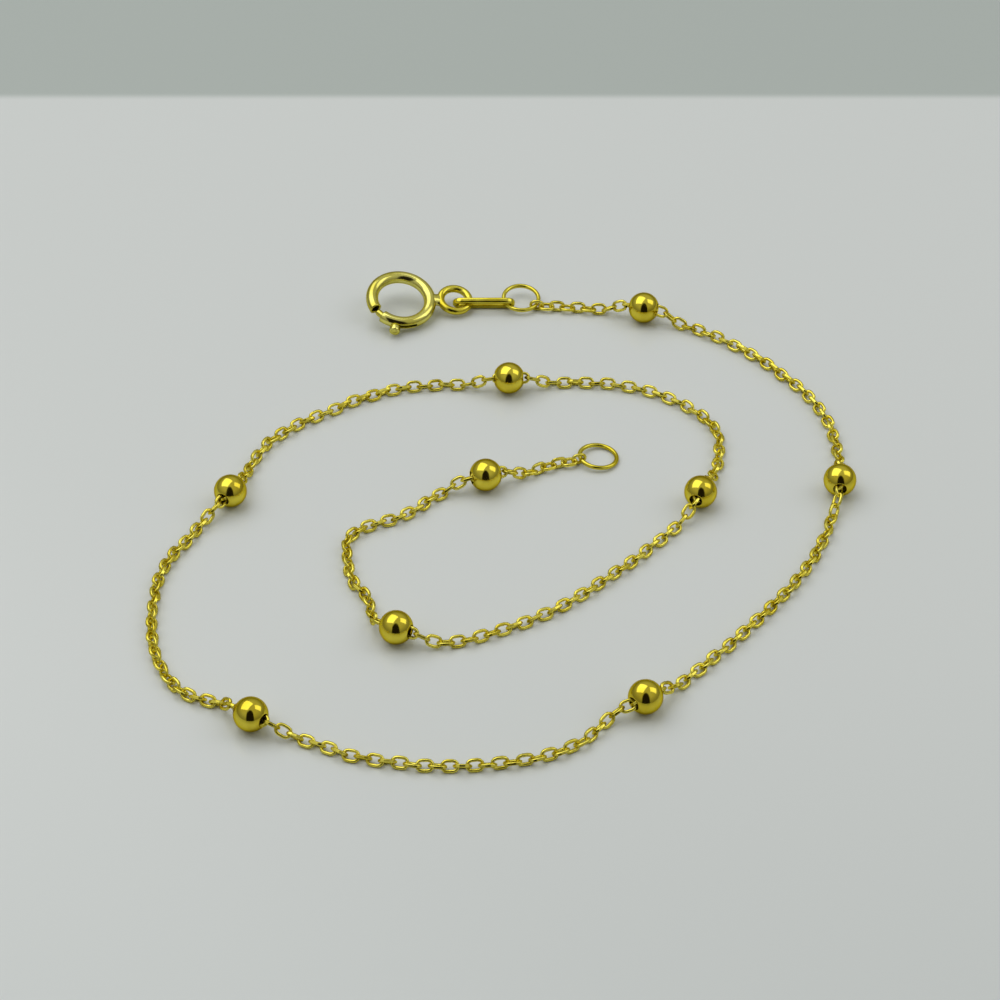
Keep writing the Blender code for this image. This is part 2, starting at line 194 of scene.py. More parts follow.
def bumpNode(nodes, links, height, distance):
    # Turns a height from 0 to 1 into a bump of this distance
    node = nodes.new("ShaderNodeBump")
    node.inputs["Distance"].default_value = distance
    links.new(height, node.inputs["Height"])
    return node


def goldMaterial(name, look):
    # Polished gold: slow colour drift, roughness that varies with wiping marks, shallow dents and
    # hairlines
    material = bpy.data.materials.new(name)
    material.use_nodes = True
    nodes, links = material.node_tree.nodes, material.node_tree.links
    shader = nodes["Principled BSDF"]
    shader.inputs["Metallic"].default_value = 1.0
    shader.inputs["Coat Weight"].default_value = goldLooks["coat"]
    shader.inputs["Coat IOR"].default_value = goldLooks["coatIor"]
    shader.inputs["Specular Tint"].default_value = (*goldLooks["edge"], 1)
    place = nodes.new("ShaderNodeTexCoord").outputs["Object"]
    scale = look["toneScale"]

    tone = noiseNode(nodes, links, place, scale, goldLooks["toneDetail"])
    ramp = nodes.new("ShaderNodeValToRGB")
    deepEnd, baseEnd = ramp.color_ramp.elements
    deepEnd.position, baseEnd.position = goldLooks["toneSpan"]
    deepEnd.color = (*look["deep"], 1)
    baseEnd.color = (*look["base"], 1)
    links.new(tone, ramp.inputs["Fac"])
    links.new(ramp.outputs["Color"], shader.inputs["Base Color"])

    wipe = noiseNode(nodes, links, place, scale * goldLooks["wipeFiner"], goldLooks["wipeDetail"])
    spread = nodes.new("ShaderNodeMapRange")
    low, high = goldLooks["wipeSpan"]
    least, most = goldLooks["wipeReach"]
    spread.inputs["From Min"].default_value = low
    spread.inputs["From Max"].default_value = high
    spread.inputs["To Min"].default_value = look["roughness"] * least
    spread.inputs["To Max"].default_value = look["roughness"] * most
    links.new(wipe, spread.inputs["Value"])
    links.new(spread.outputs["Result"], shader.inputs["Roughness"])

    dent = noiseNode(nodes, links, place, scale * goldLooks["dentFiner"], goldLooks["dentDetail"])
    dented = bumpNode(nodes, links, dent, look["dents"])
    stretch = nodes.new("ShaderNodeMapping")
    stretch.inputs["Scale"].default_value = goldLooks["hairStretch"]
    stretch.inputs["Rotation"].default_value = goldLooks["hairTurn"]
    links.new(place, stretch.inputs["Vector"])
    hair = noiseNode(nodes, links, stretch.outputs["Vector"], look["hairScale"],
                     goldLooks["hairDetail"])
    haired = bumpNode(nodes, links, hair, look["hairs"])
    links.new(dented.outputs["Normal"], haired.inputs["Normal"])
    links.new(haired.outputs["Normal"], shader.inputs["Normal"])
    return material


linkGold = goldMaterial("linkGold", goldLooks["link"])
beadGold = goldMaterial("beadGold", goldLooks["bead"])
beadInsideGold = goldMaterial("beadInsideGold", goldLooks["beadInside"])
ringGold = goldMaterial("ringGold", goldLooks["ring"])
claspGold = goldMaterial("claspGold", goldLooks["clasp"])
print("gold mixed")


# The chain's route, the same points as the solid chain's

route = {
    "size": 0.05,
    "linkRest": 0.00034,     # height of the chain's middle where its links lie on the floor
    "beadRise": 0.0022,      # length of the slope from the floor up to a bead
    "beadLead": 0.0002,      # how far the chain runs straight on beyond a bead
    "beadDiameter": 0.0023,
    # x and y as shares of the size, and 1 where a bead sits
    "points": np.array([
        (0.0602, 0.4696, 0), (0.1440, 0.4606, 0), (0.2030, 0.4456, 1), (0.2450, 0.4296, 0),
        (0.3190, 0.3876, 0), (0.3910, 0.3156, 0), (0.4510, 0.2186, 0), (0.4670, 0.1116, 0),
        (0.4620, 0.0396, 1), (0.4540, -0.0014, 0), (0.4310, -0.0694, 0), (0.3720, -0.1774, 0),
        (0.2930, -0.2774, 0), (0.2160, -0.3634, 0), (0.1740, -0.3974, 1), (0.1430, -0.4144, 0),
        (0.1030, -0.4524, 0), (0.0140, -0.4974, 0), (-0.0990, -0.5064, 0), (-0.2110, -0.4834, 0),
        (-0.2940, -0.4484, 0), (-0.3310, -0.4294, 1), (-0.3690, -0.3994, 0), (-0.4090, -0.3814, 0),
        (-0.4580, -0.3224, 0), (-0.4770, -0.2104, 0), (-0.4590, -0.1014, 0), (-0.4380, -0.0634, 0),
        (-0.4200, -0.0284, 0), (-0.3880, 0.0156, 1), (-0.3700, 0.0676, 0), (-0.3360, 0.1506, 0),
        (-0.2690, 0.2086, 0), (-0.1620, 0.2666, 0), (-0.0440, 0.2736, 0), (0.0000, 0.2726, 1),
        (0.0430, 0.2766, 0), (0.1550, 0.2766, 0), (0.2440, 0.2366, 0), (0.2970, 0.1656, 0),
        (0.2920, 0.0816, 0), (0.2660, 0.0136, 1), (0.2460, -0.0244, 0), (0.1790, -0.1024, 0),
        (0.0810, -0.1964, 0), (-0.0110, -0.2544, 0), (-0.1130, -0.2794, 0), (-0.1500, -0.2654, 1),
        (-0.1790, -0.2474, 0), (-0.1850, -0.2094, 0), (-0.2130, -0.1514, 0), (-0.2220, -0.0944, 0),
        (-0.2230, -0.0754, 0), (-0.2140, -0.0564, 0), (-0.1460, -0.0184, 0), (-0.0760, 0.0386, 0),
        (-0.0330, 0.0506, 1), (0.0070, 0.0646, 0), (0.0390, 0.0796, 0), (0.0610, 0.0910, 0),
        (0.0820, 0.0978, 0),
    ]),
}


def routeCurve():
    # Natural cubic through the route, straight through each bead, as in the solid chain
    rows = route["points"]
    flat = rows[:, :2] * route["size"]
    reach = route["beadDiameter"] / 2 + route["beadLead"]
    beadRows = np.flatnonzero(rows[:, 2])
    axes = unit(flat[beadRows + 1] - flat[beadRows - 1])
    points = np.insert(flat, beadRows, flat[beadRows] - axes * reach, axis=0)
    middles = beadRows + np.arange(len(beadRows)) + 1
    points = np.insert(points, middles + 1, flat[beadRows] + axes * reach, axis=0)
    middles = middles + np.arange(len(beadRows))
    stations = np.concatenate(([0], np.cumsum(np.linalg.norm(np.diff(points, axis=0), axis=1))))
    steps = np.diff(stations)
    count = len(stations)
    system = np.eye(count)
    inner = np.arange(1, count - 1)
    system[inner, inner - 1] = steps[:-1]
    system[inner, inner] = 2 * (steps[:-1] + steps[1:])
    system[inner, inner + 1] = steps[1:]
    slopes = np.diff(points, axis=0) / steps[:, None]
    right = np.zeros((count, 2))
    right[1:-1] = 6 * np.diff(slopes, axis=0)
    bends = np.linalg.solve(system, right)
    beadStations = stations[middles]

    def at(s):
        # Cubic between its two stations, straight on beyond the ends, raised to each bead's bore
        s = np.asarray(s, float)
        inside = np.clip(s, 0, stations[-1])
        i = np.clip(np.searchsorted(stations, inside) - 1, 0, count - 2)
        step = steps[i][:, None]
        a = (stations[i + 1] - inside)[:, None] / step
        b = 1 - a
        xy = a * points[i] + b * points[i + 1]
        xy = xy + ((a**3 - a) * bends[i] + (b**3 - b) * bends[i + 1]) * step**2 / 6
        slope = (points[i + 1] - points[i]) / step
        slope = slope + ((1 - 3 * a**2) * bends[i] + (3 * b**2 - 1) * bends[i + 1]) * step / 6
        xy = xy + slope * (s - inside)[:, None]
        toBead = np.min(np.abs(s[:, None] - beadStations[None, :]), axis=1)
        fall = np.clip((toBead - route["beadDiameter"] / 2) / route["beadRise"], 0, 1)
        fall = fall * fall * (3 - 2 * fall)
        seated, lying = route["beadDiameter"] / 2, route["linkRest"]
        return np.column_stack((xy, seated + (lying - seated) * fall))

    return at, beadStations, stations[-1]


routeAt, beadStations, routeLength = routeCurve()
print("route laid, %.1f mm" % (routeLength * 1000))


# Camera at the photograph's angle

view = {
    "place": (-0.00065, -0.15682, 0.13256),
    "pitchFromDown": radians(50),
    "lens": 106.2,
    "sensor": 36.0,
    "clipStart": 0.005,
    "clipEnd": 20.0,
}
cameraData = bpy.data.cameras.new("camera")
cameraData.lens = view["lens"]
cameraData.sensor_width = view["sensor"]
cameraData.clip_start = view["clipStart"]
cameraData.clip_end = view["clipEnd"]
camera = bpy.data.objects.new("camera", cameraData)
camera.location = view["place"]
camera.rotation_euler = (view["pitchFromDown"], 0, 0)
bpy.context.scene.collection.objects.link(camera)
bpy.context.scene.camera = camera


# Floor and soft light

studio = {
    "floorSize": 3.0,
    "floorTone": (0.790, 0.825, 0.808),
    # The front of the floor is painted darker, as painted shade near the camera
    "frontShadeTone": (0.735, 0.775, 0.760),
    "frontShadeFade": (-0.060, -0.005),  # along y, where the floor turns from its front tone to its own
    # Past a line behind the anklet the floor is painted darker, as painted shade of the dim backdrop
    "backShadeTone": (0.520, 0.575, 0.542),
    "backShadeFade": (0.0530, 0.0542),   # along y, where it turns to the darker painted shade of the dim backdrop
    "floorRoughness": 0.26,
    "floorGloss": 0.5,
    "leftBox": {"centre": (-0.15, 0.10, 0.34), "size": (0.42, 0.36), "power": 0.56},
    "rightBox": {"centre": (0.30, 0.06, 0.30), "size": (0.22, 0.30), "power": 0.20},
    "roomTop": (0.49, 0.49, 0.48),
    "roomEdge": (0.23, 0.23, 0.22),
    "edgeHeight": (0.05, 0.75),     # between these heights of the view's direction it turns light
    "dark": (0.012, 0.010, 0.012),
    "darkReach": (0.43, 0.95),      # how far sideways and up the dark camera and operator reach
    "darkPowers": (2.0, 4.0),
    "darkRim": (0.8, 1.1),
    "darkBack": 10.0,               # keeps the dark part in front
}


def mapNode(nodes, links, value, span):
    # 0 at the start of the span and 1 at its end, with a smooth rise between
    node = nodes.new("ShaderNodeMapRange")
    node.interpolation_type = "SMOOTHSTEP"
    node.inputs["From Min"].default_value, node.inputs["From Max"].default_value = span
    links.new(value, node.inputs["Value"])
    return node.outputs["Result"]


def mathNode(nodes, links, operation, first, second):
    # One operation on two values, each a number or another node's output
    node = nodes.new("ShaderNodeMath")
    node.operation = operation
    for socket, value in zip(node.inputs, (first, second)):
        if isinstance(value, float):
            socket.default_value = value
        else:
            links.new(value, socket)
    return node.outputs["Value"]


def mixNode(nodes, links, factor, first, second):
    # The first colour where the factor is 0 and the second where it is 1
    node = nodes.new("ShaderNodeMix")
    node.data_type = "RGBA"
    for socket, colour in (("A", first), ("B", second)):
        if isinstance(colour, tuple):
            node.inputs[socket].default_value = (*colour, 1)
        else:
            links.new(colour, node.inputs[socket])
    links.new(factor, node.inputs["Factor"])
    return node.outputs["Result"]


def makeFloor():
    # A flat square, painted darker towards the front and darker still past a line behind the anklet,
    # as painted shade
    half = studio["floorSize"] / 2
    corners = np.array([(-half, -half, 0), (half, -half, 0), (half, half, 0), (-half, half, 0)])
    material = bpy.data.materials.new("paleFloor")
    material.use_nodes = True
    nodes, links = material.node_tree.nodes, material.node_tree.links
    shader = nodes["Principled BSDF"]
    shader.inputs["Roughness"].default_value = studio["floorRoughness"]
    shader.inputs["Specular IOR Level"].default_value = studio["floorGloss"]
    split = nodes.new("ShaderNodeSeparateXYZ")
    links.new(nodes.new("ShaderNodeTexCoord").outputs["Object"], split.inputs["Vector"])
    # Painted shade: darker towards the front, and darker still past the line behind the anklet
    pastFront = mapNode(nodes, links, split.outputs["Y"], studio["frontShadeFade"])
    pastBack = mapNode(nodes, links, split.outputs["Y"], studio["backShadeFade"])
    near = mixNode(nodes, links, pastFront, studio["frontShadeTone"], studio["floorTone"])
    tone = mixNode(nodes, links, pastBack, near, studio["backShadeTone"])
    links.new(tone, shader.inputs["Base Color"])
    floor = meshPiece("floor", corners, np.array([(0, 1, 2, 3)]), material)


def softBox(name, look):
    # An area lamp that the camera doesn't see
    lamp = bpy.data.lights.new(name, "AREA")
    lamp.shape = "RECTANGLE"
    lamp.size, lamp.size_y = look["size"]
    lamp.energy = look["power"]
    box = bpy.data.objects.new(name, lamp)
    x, y, z = look["centre"]
    box.location = look["centre"]
    # The lamp shines down its own -Z, which is turned to the anklet's middle
    box.rotation_euler = (atan2(np.hypot(x, y), z), 0, atan2(x, -y))
    box.visible_camera = False
    bpy.context.scene.collection.objects.link(box)


def makeRoom():
    # Dim at the horizon, lighter overhead, and dark where the camera and its operator stand
    world = bpy.data.worlds.new("room")
    world.use_nodes = True
    nodes, links = world.node_tree.nodes, world.node_tree.links
    split = nodes.new("ShaderNodeSeparateXYZ")
    links.new(nodes.new("ShaderNodeTexCoord").outputs["Generated"], split.inputs["Vector"])
    x, y, z = (split.outputs[axis] for axis in "XYZ")
    rise = mapNode(nodes, links, z, studio["edgeHeight"])
    room = mixNode(nodes, links, rise, studio["roomEdge"], studio["roomTop"])
    # The dark part is where (x / side)^2 + (z / top)^4 is below 1, in front, so that y is below 0
    side, top = studio["darkReach"]
    sidePower, topPower = studio["darkPowers"]
    sideShare = mathNode(nodes, links, "MULTIPLY", x, 1 / side)
    topShare = mathNode(nodes, links, "MULTIPLY", z, 1 / top)
    wide = mathNode(nodes, links, "POWER", sideShare, sidePower)
    tall = mathNode(nodes, links, "POWER", topShare, topPower)
    behind = mathNode(nodes, links, "MAXIMUM", y, 0.0)
    back = mathNode(nodes, links, "MULTIPLY", behind, studio["darkBack"])
    reach = mathNode(nodes, links, "ADD", mathNode(nodes, links, "ADD", wide, tall), back)
    clear = mapNode(nodes, links, reach, studio["darkRim"])
    tone = mixNode(nodes, links, clear, studio["dark"], room)
    links.new(tone, nodes["Background"].inputs["Color"])
    return world


makeFloor()
softBox("leftBox", studio["leftBox"])
softBox("rightBox", studio["rightBox"])
bpy.context.scene.world = makeRoom()
bpy.context.scene.view_settings.view_transform = "Standard"
print("camera, floor and lights set")


# Chain links

chainLook = {
    "length": 0.00126,
    "width": 0.0009,
    "wire": 0.00023,
    # Metres along the route and the pitch there. The links crowd together on the two left turns.
    "pitches": np.array([
        (0.000, 0.00079), (0.086, 0.00079), (0.091, 0.00070), (0.112, 0.00070), (0.118, 0.00078),
        (0.192, 0.00079), (0.197, 0.00072), (0.212, 0.00074), (0.222, 0.00078),
    ]),
    "stations": 4000,      # places along the route where the links up to there are counted
    "endSteps": 6,
    "wireSides": 6,
    "endLength": 0.00115,  # the two links that grip the rings
    "endGap": 0.00094,     # from the chain's end to the middle of the end link's place
    "endLinkSteps": 16,
    "endLinkSides": 12,
    "probe": 0.00001,      # half the distance over which the route's direction is read
    "lean": radians(45),
    "leanDrift": radians(13),
    "driftKnots": 40,
    "leanJitter": radians(6),
    "settle": 0.006,       # the lean grows from nothing at the route's ends over this length
    "sideJitter": 0.00004,
    "beadKeep": 0.0016,    # no sideways jitter this near to a bead's middle
    "beadFade": 0.001,
    "endFade": 0.002,
    "seed": 7,
}


def stadiumPath(length, width, wire, endSteps):
    # Two half circles joined by straight sides, along the wire's middle, with its outward direction
    radius, offset = (width - wire) / 2, (length - width) / 2
    t = np.linspace(-pi / 2, pi / 2, endSteps + 1)
    half = np.stack((np.cos(t), np.sin(t), 0 * t), axis=-1)
    path = np.concatenate((half * radius + (offset, 0, 0), -half * radius - (offset, 0, 0)))
    return path, np.concatenate((half, -half))


def linkKnots(look):
    # Links up to each station = sum of step / pitch. Their number is made odd, so that the links
    # beside both end links lie flat.
    places, pitches = look["pitches"].T
    start = -look["endGap"] + pitches[0] / 2
    stations = np.linspace(start, routeLength - start, look["stations"])
    steps = np.diff(stations)
    upTo = np.concatenate(([0], np.cumsum(steps / np.interp(stations[1:], places, pitches))))
    count = 2 * int(upTo[-1] / 2) + 1
    return np.interp(np.linspace(0, upTo[-1], count + 1), upTo, stations)


def makeLinks():
    # One link template turned and moved to every place along the route at once
    look = chainLook
    rng = np.random.default_rng(look["seed"])
    sides, wire = look["wireSides"], look["wire"]
    path, outward = stadiumPath(look["length"], look["width"], wire, look["endSteps"])
    # The section's corners lie outside the wire's circle and its flats inside
    section = roundSection(sides, wire / 2 / cos(pi / sides) ** 0.5)
    template = sweepLoop(path, outward, section).reshape(-1, 3)

    # The places where one link hooks into the next, with sideways jitter away from beads and ends
    knots = linkKnots(look)
    count = len(knots) - 1
    hooks = routeAt(knots)
    ahead = unit(routeAt(knots + look["probe"]) - routeAt(knots - look["probe"]))
    beside = unit(np.cross(zAxis, ahead))
    toBead = np.min(np.abs(knots[:, None] - beadStations), axis=1)
    toEnd = np.minimum(knots - knots[0], knots[-1] - knots)
    free = np.clip((toBead - look["beadKeep"]) / look["beadFade"], 0, 1)
    free = free * np.clip(toEnd / look["endFade"], 0, 1)
    hooks = hooks + beside * (rng.normal(0, look["sideJitter"], count + 1) * free)[:, None]

    # Each link leans to its own side: lean + drift + jitter, a quarter turn on from the last
    along = unit(hooks[1:] - hooks[:-1])
    middle = (hooks[1:] + hooks[:-1]) / 2
    side = unit(np.cross(zAxis, along))
    up = np.cross(along, side)
    s = (knots[1:] + knots[:-1]) / 2
    settle = np.clip(np.minimum(s, routeLength - s) / look["settle"], 0, 1)
    driftPlaces = np.linspace(0, routeLength, look["driftKnots"])
    drift = np.interp(s, driftPlaces, rng.normal(0, 1, look["driftKnots"])) * look["leanDrift"]
    lean = (look["lean"] + drift + rng.normal(0, look["leanJitter"], count)) * settle
    lean = lean + pi / 2 * (np.arange(count) + 1)
    across = np.cos(lean)[:, None] * up + np.sin(lean)[:, None] * side
    turn = np.stack((along, across, np.cross(along, across)), axis=-1)
    points = np.einsum("kij,pj->kpi", turn, template) + middle[:, None, :]
    lowest = points[:, :, 2].min(axis=1)
    points[:, :, 2] += np.clip(floorGap - lowest, 0, None)[:, None]

    one = gridQuads(len(path), sides, True, True)
    quads = (one[None] + (np.arange(count) * len(template))[:, None, None]).reshape(-1, 4)
    # The outermost side of the wire is shaded flat, as if it were cut
    cut = np.tile(np.arange(sides) == sides - 1, len(path) * count)
    links = meshPiece("cableLinks", points.reshape(-1, 3), quads, linkGold, flatFaces=cut)
    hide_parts("chain")
    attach(links, "anklet")
    print("chain linked, %d links" % count)


makeLinks()


# The two end links, the rings and the oval link

ringLook = {
    "diameter": 0.00295,
    "wire": 0.00031,
    "steps": 96,
    "sides": 20,
    "jumpTilt": radians(8),
    "jumpRoll": radians(3),
}
ovalLook = {
    "length": 0.0047,
    "width": 0.00134,
    "wire": 0.00036,
    "lean": radians(34),
    "flatOut": 0.95,       # the flatted wire's depth and width, as shares of its thickness
    "flatThick": 1.22,
    "flatPower": 3.6,
    "endSteps": 24,
    "sides": 36,
}


def placedLoop(name, node, path, outward, section, along, across, material):
    # A flat loop of wire, turned so that its own x and y run along and across, at the node's place
    along, across = unit(along), unit(across)
    turn = np.stack((along, across, np.cross(along, across)))
    points = sweepLoop(path, outward, section).reshape(-1, 3) @ turn + boxCentre(node)
    points[:, 2] += max(0, floorGap - points[:, 2].min())
    piece = meshPiece(name, points, gridQuads(len(path), len(section), True, True), material)
    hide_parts(node)
    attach(piece, "anklet")


def circlePath(radius, steps):
    # radius * (cos t, sin t), with its outward direction
    t = np.arange(steps) * 2 * pi / steps
    outward = np.stack((np.cos(t), np.sin(t), 0 * t), axis=-1)
    return outward * radius, outward


def levelWay(here, inside):
    # The level direction along the route, from inside to here
    ends = routeAt(np.array((here, inside)))
    return unit((ends[0] - ends[1]) * (1, 1, 0))


def makeEndLinks():
    # Upright links at both ends of the route
    look = chainLook
    length = look["endLength"]
    path, outward = stadiumPath(length, look["width"], look["wire"], look["endLinkSteps"])
    section = roundSection(look["endLinkSides"], look["wire"] / 2)
    for name, node, here, inside in (
        ("firstLink", "first_link", 0.0, length),
        ("lastLink", "last_link", routeLength, routeLength - length),
    ):
        placedLoop(name, node, path, outward, section, levelWay(here, inside), zAxis, linkGold)


def makeRings():
    # The jump ring is tilted about x and rolled about y
    look = ringLook
    radius = (look["diameter"] - look["wire"]) / 2
    path, outward = circlePath(radius, look["steps"])
    section = roundSection(look["sides"], look["wire"] / 2)
    tilt, roll = look["jumpTilt"], look["jumpRoll"]
    placedLoop("jumpRing", "jump_ring", path, outward, section, (cos(roll), 0, -sin(roll)),
               (sin(roll) * sin(tilt), cos(tilt), cos(roll) * sin(tilt)), ringGold)
    # The end ring slopes down from the last link to the floor: sin(slope) = rise / 2 radius
    away = levelWay(routeLength, routeLength - chainLook["endLength"])
    low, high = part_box("end_ring")
    slope = asin((high[2] - low[2] - look["wire"]) / (2 * radius))
    along = away * cos(slope) - zAxis * sin(slope)
    placedLoop("endRing", "end_ring", path, outward, section, along, np.cross(zAxis, along),
               ringGold)


def makeOvalLink():
    # On its edge along x, with its top leaning towards the viewer
    look = ovalLook
    path, outward = stadiumPath(look["length"], look["width"], look["wire"], look["endSteps"])
    half = look["wire"] / 2
    section = flattedSection(look["sides"], half * look["flatOut"], half * look["flatThick"],
                             look["flatPower"])
    lean = look["lean"]
    placedLoop("ovalLink", "oval_link", path, outward, section, (1, 0, 0),
               (0, -sin(lean), cos(lean)), ringGold)


makeEndLinks()
makeRings()
makeOvalLink()
print("rings and end links made")


# Beads

beadLook = {
    "diameter": 0.0023,
    "wall": 0.0002,
    "bore": 0.00092,
    "lip": 0.00003,
    "lipReach": 0.6,       # how far the rounded lip runs in along the axis, as a share of it
    "lipSteps": 6,
    "ballSteps": 48,
    "hollowSteps": 16,
    "sides": 64,
}


def beadProfile():
    # Half outline of the ball from bore to bore with a rounded lip, then the hollow back again
    look = beadLook
    radius = look["diameter"] / 2
    lip = look["lip"]
    edge = asin((look["bore"] / 2 + lip) / radius)
    t = np.linspace(edge, pi - edge, look["ballSteps"])
    ball = np.stack((-radius * np.cos(t), radius * np.sin(t)), axis=-1)
    x, y = ball[-1]
    turns = np.linspace(0, pi / 2, look["lipSteps"])[1:]
    lipEnd = np.stack((x - lip * (1 - np.cos(turns)) * look["lipReach"], y - lip * np.sin(turns)),
                      axis=-1)
    inner = radius - look["wall"]
    edgeIn = asin(look["bore"] / 2 / inner)
    t = np.linspace(pi - edgeIn, edgeIn, look["hollowSteps"])
    hollow = np.stack((-inner * np.cos(t), inner * np.sin(t)), axis=-1)
    lipStart = lipEnd[::-1] * (-1, 1)
    isHollow = np.repeat((False, True, False),
                         (len(ball) + len(lipEnd), len(hollow) - 1, len(lipStart) + 1))
    return np.concatenate((ball, lipEnd, hollow, lipStart)), isHollow


def makeBeads():
    # The profile is turned about the bead's own axis, which follows the route
    profile, isHollow = beadProfile()
    sides = beadLook["sides"]
    t = np.arange(sides) * 2 * pi / sides
    x = np.repeat(profile[:, :1], sides, axis=1)
    y, z = profile[:, 1:] * np.cos(t), profile[:, 1:] * np.sin(t)
    local = np.stack((x, y, z), axis=-1).reshape(-1, 3)
    quads = gridQuads(len(profile), sides, True, True)
    # The hollow's faces get the near-black gold, painted shade
    inside = (beadInsideGold, np.repeat(isHollow, sides))
    lead = route["beadLead"]
    axes = unit(routeAt(beadStations + lead) - routeAt(beadStations - lead))
    for number, (station, axis) in enumerate(zip(beadStations, axes), 1):
        side = unit(np.cross(zAxis, axis))
        turn = np.stack((axis, side, np.cross(axis, side)))
        points = local @ turn + routeAt(np.array([station]))[0]
        bead = meshPiece("bead%d" % number, points, quads, beadGold, inside=inside)
        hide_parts("bead_%d" % number)
        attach(bead, "anklet")


makeBeads()
print("beads turned")


# Spring ring clasp

claspLook = {
    "diameter": 0.0053,
    "tube": 0.00091,
    "wall": 0.00012,
    "turn": radians(9),
    "mouthStart": radians(-134),
    "mouthEnd": radians(203.5),
    "mouthSteps": 14,      # points along the ring from the mouth to the slot, along it and beyond
    "slotSteps": 22,
    "backSteps": 120,
    "slotSides": 5,        # points across the slot and round the rest of the tube
    "tubeSides": 44,
    "slotClear": 0.00005,
    "eyeDiameter": 0.00275,
    "eyeWire": 0.00057,
    "eyeSteps": 72,
    "eyeSides": 24,
    "neck": 0.0001,
    "solderInRing": 0.00030,
    "solderInEye": 0.00028,
    "solderSteps": 17,
    "solderSides": 28,
    "waist": 0.00050,
    "flare": 0.00022,
    "thickAtRing": 0.00040,
    "thickAtEye": 0.00025,
    "rod": 0.0005,
    "rodSteps": 40,
    "rodSides": 20,
    "rodTip": 0.02,        # the tongue's domed ends are cut off at this share of its width
    "domeSteps": 7,
    "tipGap": radians(4),
    "tail": radians(-74),
    "travel": radians(32),
    "knobAngle": radians(-105),
    "knobDiameter": 0.00080,
    "knobLength": 0.00050,
    "knobStem": 0.00024,
    "knobLift": 0.00005,
    "knobSoft": 0.0001,
    "knobSoftSteps": 6,
    "knobSides": 28,
    "knobDish": 0.00005,
    # The knob's end is dished round a small boss: shares of its radius and of the dish's depth
    "knobFace": np.array([(0.72, 0), (0.60, 1), (0.34, 1), (0.22, 1 / 3), (0.05, 1 / 3)]),
}


def claspFrame():
    # The joint gives the clasp's middle and its normal; the turn about +Z gives the rest
    joint = next(j for j in frame["record"]["behaviour"]["joints"] if j["name"] == "latch_turn")
    middle = np.array(joint["pos_m"])
    normal = unit(joint["axis"])
    turn = claspLook["turn"]
    sideways = np.array((cos(turn), sin(turn), 0))
    roll = atan2(normal @ sideways, normal[2])
    x = sideways * cos(roll) - zAxis * sin(roll)
    y = np.cross(normal, x)
    return middle, np.stack((unit(x), unit(y), normal))


claspMiddle, claspTurn = claspFrame()


def claspPiece(name, local, quads, caps=(), node="clasp_body", body="anklet", material=claspGold):
    # Turns points from the clasp's own frame and moves them to its middle
    piece = meshPiece(name, local.reshape(-1, 3) @ claspTurn + claspMiddle, quads, material, caps)
    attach(piece, body)
    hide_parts(node)
    return piece


def torusPoint(radius, tube, a, t):
    # Around the ring by a and around the tube by t, with t = 0 on the outer side
    reach = radius + tube * np.cos(t)
    return np.stack((reach * np.cos(a), reach * np.sin(a), tube * np.sin(t) + 0 * a), axis=-1)


def makeClaspRing():
    # A C of tube from mouth to mouth, with the slot's faces left out, given its wall by Solidify
    look = claspLook
    radius = (look["diameter"] - look["tube"]) / 2
    half = look["knobStem"] / 2 + look["slotClear"]
    slotFrom = look["knobAngle"] - half / radius
    slotTo = look["knobAngle"] + look["travel"] + half / radius
    a = np.concatenate((
        np.linspace(look["mouthStart"], slotFrom, look["mouthSteps"]),
        np.linspace(slotFrom, slotTo, look["slotSteps"])[1:],
        np.linspace(slotTo, look["mouthEnd"], look["backSteps"])[1:],
    ))
    high = asin(half / (look["tube"] / 2))
    t = np.concatenate((np.linspace(-high, high, look["slotSides"]),
                        np.linspace(high, 2 * pi - high, look["tubeSides"])[1:-1]))
    points = torusPoint(radius, look["tube"] / 2, a[:, None], t[None, :])
    quads = gridQuads(len(a), len(t), False, True).reshape(len(a) - 1, len(t), 4)
    keep = np.ones(quads.shape[:2], bool)
    slotRow = look["mouthSteps"] - 1
    keep[slotRow:slotRow + look["slotSteps"] - 1, :look["slotSides"] - 1] = False
    ring = claspPiece("claspRing", points, quads[keep][:, ::-1])
    wall = ring.modifiers.new("wall", "SOLIDIFY")
    wall.thickness = look["wall"]
    wall.offset = -1.0
    wall.use_even_offset = True


def makeClaspEye():
    # The eye's ring and the solder that runs into it, narrow in the middle
    look = claspLook
    centre = look["diameter"] / 2 + look["neck"] + look["eyeDiameter"] / 2
    radius = (look["eyeDiameter"] - look["eyeWire"]) / 2
    steps, sides = look["eyeSteps"], look["eyeSides"]
    a = np.arange(steps) * 2 * pi / steps
    t = np.arange(sides) * 2 * pi / sides
    eye = torusPoint(radius, look["eyeWire"] / 2, a[:, None], t[None, :]) + (centre, 0, 0)
    claspPiece("claspEye", eye, gridQuads(steps, sides, True, True)[:, ::-1], material=ringGold)
    # The solder is widest where it meets the ring and the eye: half width = waist + flare (2 s - 1)^2
    s = np.linspace(0, 1, look["solderSteps"])
    start = look["diameter"] / 2 - look["solderInRing"]
    end = look["diameter"] / 2 + look["neck"] + look["solderInEye"]
    spread = look["waist"] + look["flare"] * (2 * s - 1) ** 2
    thick = look["thickAtRing"] + (look["thickAtEye"] - look["thickAtRing"]) * s
    turn = np.arange(look["solderSides"]) * 2 * pi / look["solderSides"]
    x = (start + (end - start) * s)[:, None] + 0 * turn
    solder = np.stack((x, spread[:, None] * np.cos(turn), thick[:, None] * np.sin(turn)), axis=-1)
    claspPiece("claspSolder", solder, *cappedTube(solder))


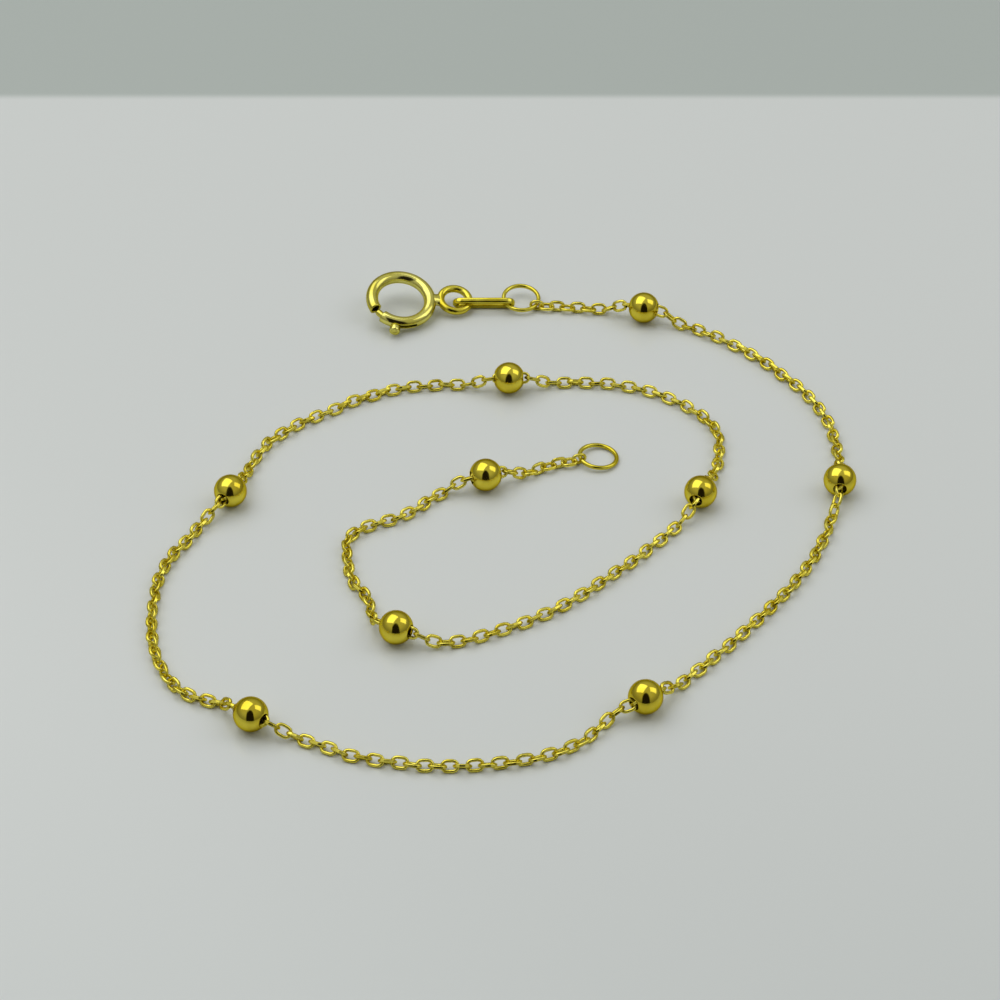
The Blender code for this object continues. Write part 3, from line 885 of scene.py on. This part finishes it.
def makeTongue():
    # A bent rod from the mouth's far side into the ring, with domed ends
    look = claspLook
    radius = (look["diameter"] - look["tube"]) / 2
    rod = look["rod"] / 2
    tip, tail = look["mouthEnd"] - 2 * pi + look["tipGap"], look["tail"]
    dome = rod / radius
    turns = np.linspace(0, pi / 2, look["domeSteps"])
    a = np.concatenate((
        tip + dome * (1 - np.cos(turns)),
        np.linspace(tip + dome, tail - dome, look["rodSteps"])[1:-1],
        tail - dome * (1 - np.sin(turns)),
    ))
    size = np.concatenate((np.sin(turns), np.ones(look["rodSteps"] - 2), np.cos(turns)))
    size = np.maximum(size, look["rodTip"])
    t = np.arange(look["rodSides"]) * 2 * pi / look["rodSides"]
    tongue = torusPoint(radius, rod * size[:, None], a[:, None], t[None, :])
    claspPiece("latchTongue", tongue, *cappedTube(tongue), node="clasp_latch", body="latch")


def makeKnob():
    # Turned about its own axis, which points away from the clasp's middle at the knob's angle
    look = claspLook
    start = look["diameter"] / 2 + look["knobLift"]
    end = start + look["knobLength"]
    big, stem, soft = look["knobDiameter"] / 2, look["knobStem"] / 2, look["knobSoft"]
    bend = np.linspace(0, pi / 2, look["knobSoftSteps"])
    face = look["knobFace"]
    profile = np.concatenate((
        [((look["diameter"] - look["tube"]) / 2, stem), (start, stem)],
        np.column_stack((start + soft * (1 - np.cos(bend)), big - soft + soft * np.sin(bend))),
        np.column_stack((end - soft + soft * np.sin(bend), big - soft + soft * np.cos(bend))),
        np.column_stack((end - look["knobDish"] * face[:, 1], big * face[:, 0])),
    ))
    turn = np.arange(look["knobSides"]) * 2 * pi / look["knobSides"]
    x, r = profile[:, :1] + 0 * turn, profile[:, 1:]
    k = look["knobAngle"]
    spin = np.array(((cos(k), sin(k), 0), (-sin(k), cos(k), 0), (0, 0, 1)))
    knob = np.stack((x, r * np.cos(turn), r * np.sin(turn)), axis=-1) @ spin
    claspPiece("latchKnob", knob, *cappedTube(knob), node="clasp_latch", body="latch")


makeClaspRing()
makeClaspEye()
makeTongue()
makeKnob()
print("clasp made")
